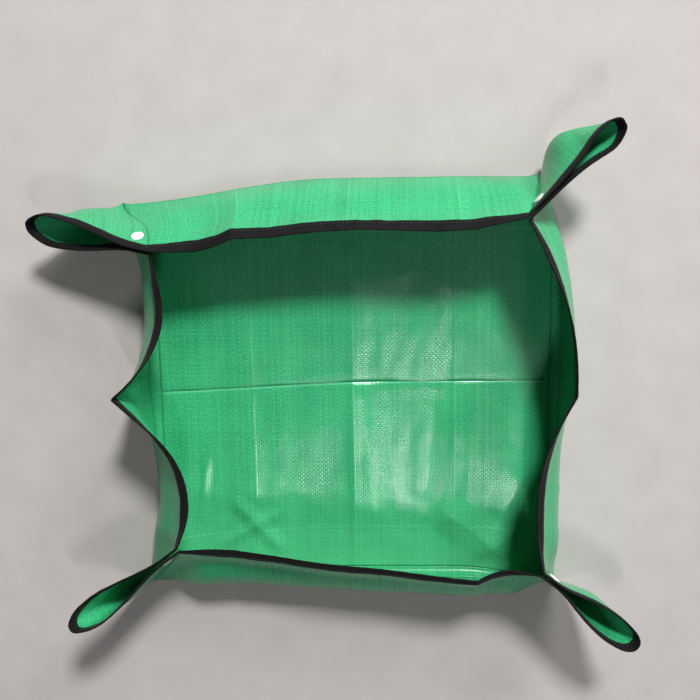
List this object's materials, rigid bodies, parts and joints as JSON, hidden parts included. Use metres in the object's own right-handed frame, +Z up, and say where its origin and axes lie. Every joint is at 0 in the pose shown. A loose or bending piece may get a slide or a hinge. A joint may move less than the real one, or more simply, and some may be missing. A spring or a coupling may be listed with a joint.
{
  "type": "folding potting tray",
  "caption": "Square woven sheet with a bound edge, pinched at its corners and held by press snaps as a low tray for potting soil, that opens out flat.",
  "frame": {"origin": "middle of the base's underside", "axes": "+Z up out of the mouth, +X to the right and +Y to the back wall as seen from above"},
  "size_m": [0.637, 0.5525, 0.1143],
  "materials": {
    "sheet": "coated woven, satin",
    "binding": "woven tape, matt",
    "snap": "glossy"
  },
  "bodies": {
    "base": {"base_panel": "sheet"},
    "wall_back": {"wall_back": "sheet", "binding_back": "binding"},
    "ear_back_left_on_back": {"ear_back_left_on_back": "sheet", "binding_back_left_on_back": "binding", "snap_socket_back_left": "snap", "snap_socket_cap_back_left": "snap"},
    "ear_back_right_on_back": {"ear_back_right_on_back": "sheet", "binding_back_right_on_back": "binding", "snap_socket_back_right": "snap", "snap_socket_cap_back_right": "snap"},
    "wall_front": {"wall_front": "sheet", "binding_front": "binding"},
    "ear_front_right_on_front": {"ear_front_right_on_front": "sheet", "binding_front_right_on_front": "binding", "snap_socket_front_right": "snap", "snap_socket_cap_front_right": "snap"},
    "ear_front_left_on_front": {"ear_front_left_on_front": "sheet", "binding_front_left_on_front": "binding", "snap_socket_front_left": "snap", "snap_socket_cap_front_left": "snap"},
    "wall_left": {"wall_left": "sheet", "binding_left": "binding"},
    "ear_back_left_on_left": {"ear_back_left_on_left": "sheet", "binding_back_left_on_left": "binding", "snap_stud_back_left": "snap", "snap_stud_cap_back_left": "snap"},
    "ear_front_left_on_left": {"ear_front_left_on_left": "sheet", "binding_front_left_on_left": "binding", "snap_stud_front_left": "snap", "snap_stud_cap_front_left": "snap"},
    "wall_right": {"wall_right": "sheet", "binding_right": "binding"},
    "ear_back_right_on_right": {"ear_back_right_on_right": "sheet", "binding_back_right_on_right": "binding", "snap_stud_back_right": "snap", "snap_stud_cap_back_right": "snap"},
    "ear_front_right_on_right": {"ear_front_right_on_right": "sheet", "binding_front_right_on_right": "binding", "snap_stud_front_right": "snap", "snap_stud_cap_front_right": "snap"}
  },
  "joints": [
    {"name": "wall_back_fold", "type": "hinge", "parent": "base", "child": "wall_back", "pos_m": [0, 0.2265, 0.0002], "axis": [-1, 0, 0], "range_deg": [0, 122]},
    {"name": "ear_back_left_on_back_fold", "type": "hinge", "parent": "wall_back", "child": "ear_back_left_on_back", "pos_m": [-0.2265, 0.2265, 0.0014], "axis": [-0.2497, 0.5834, -0.7729], "range_deg": [0, 3.5]},
    {"name": "ear_back_right_on_back_fold", "type": "hinge", "parent": "wall_back", "child": "ear_back_right_on_back", "pos_m": [0.22367, 0.2265, 0.00014], "axis": [0.3982, 0.3648, -0.8417], "range_deg": [0, 56.4]},
    {"name": "wall_front_fold", "type": "hinge", "parent": "base", "child": "wall_front", "pos_m": [0, -0.2265, 0.0002], "axis": [1, 0, 0], "range_deg": [0, 119.5]},
    {"name": "ear_front_right_on_front_fold", "type": "hinge", "parent": "wall_front", "child": "ear_front_right_on_front", "pos_m": [0.22401, -0.2265, 0.00048], "axis": [-0.2423, 0.3586, 0.9015], "range_deg": [0, 45.2]},
    {"name": "ear_front_left_on_front_fold", "type": "hinge", "parent": "wall_front", "child": "ear_front_left_on_front", "pos_m": [-0.22418, -0.2265, 0.00073], "axis": [-0.3351, -0.5238, -0.7832], "range_deg": [0, 34.5]},
    {"name": "wall_left_fold", "type": "hinge", "parent": "base", "child": "wall_left", "pos_m": [-0.2265, 0, 0.0002], "axis": [0, -1, 0], "range_deg": [0, 109]},
    {"name": "ear_back_left_on_left_fold", "type": "hinge", "parent": "wall_left", "child": "ear_back_left_on_left", "pos_m": [-0.2265, 0.22331, -0.00101], "axis": [-0.2497, 0.5834, -0.7729], "range_deg": [0, 100.7]},
    {"name": "ear_front_left_on_left_fold", "type": "hinge", "parent": "wall_left", "child": "ear_front_left_on_left", "pos_m": [-0.2265, -0.22342, -0.00033], "axis": [0.3351, 0.5238, 0.7832], "range_deg": [0, 60.3]},
    {"name": "wall_right_fold", "type": "hinge", "parent": "base", "child": "wall_right", "pos_m": [0.2265, 0, 0.0002], "axis": [0, 1, 0], "range_deg": [0, 110.5]},
    {"name": "ear_back_right_on_right_fold", "type": "hinge", "parent": "wall_right", "child": "ear_back_right_on_right", "pos_m": [0.2265, 0.22367, 0.00026], "axis": [-0.3982, -0.3648, 0.8417], "range_deg": [0, 45]},
    {"name": "ear_front_right_on_right_fold", "type": "hinge", "parent": "wall_right", "child": "ear_front_right_on_right", "pos_m": [0.2265, -0.22342, -0.00008], "axis": [0.2423, -0.3586, -0.9015], "range_deg": [0, 59.3]}
  ],
  "couplings": [
    {"joint": "ear_back_left_on_back_fold", "follows": "wall_back_fold", "ratio": 0.028689},
    {"joint": "ear_back_right_on_back_fold", "follows": "wall_back_fold", "ratio": 0.4623},
    {"joint": "wall_front_fold", "follows": "wall_back_fold", "ratio": 0.97951},
    {"joint": "ear_front_right_on_front_fold", "follows": "wall_back_fold", "ratio": 0.37049},
    {"joint": "ear_front_left_on_front_fold", "follows": "wall_back_fold", "ratio": 0.28279},
    {"joint": "wall_left_fold", "follows": "wall_back_fold", "ratio": 0.89344},
    {"joint": "ear_back_left_on_left_fold", "follows": "wall_back_fold", "ratio": 0.82541},
    {"joint": "ear_front_left_on_left_fold", "follows": "wall_back_fold", "ratio": 0.49426},
    {"joint": "wall_right_fold", "follows": "wall_back_fold", "ratio": 0.90574},
    {"joint": "ear_back_right_on_right_fold", "follows": "wall_back_fold", "ratio": 0.36885},
    {"joint": "ear_front_right_on_right_fold", "follows": "wall_back_fold", "ratio": 0.48607}
  ]
}
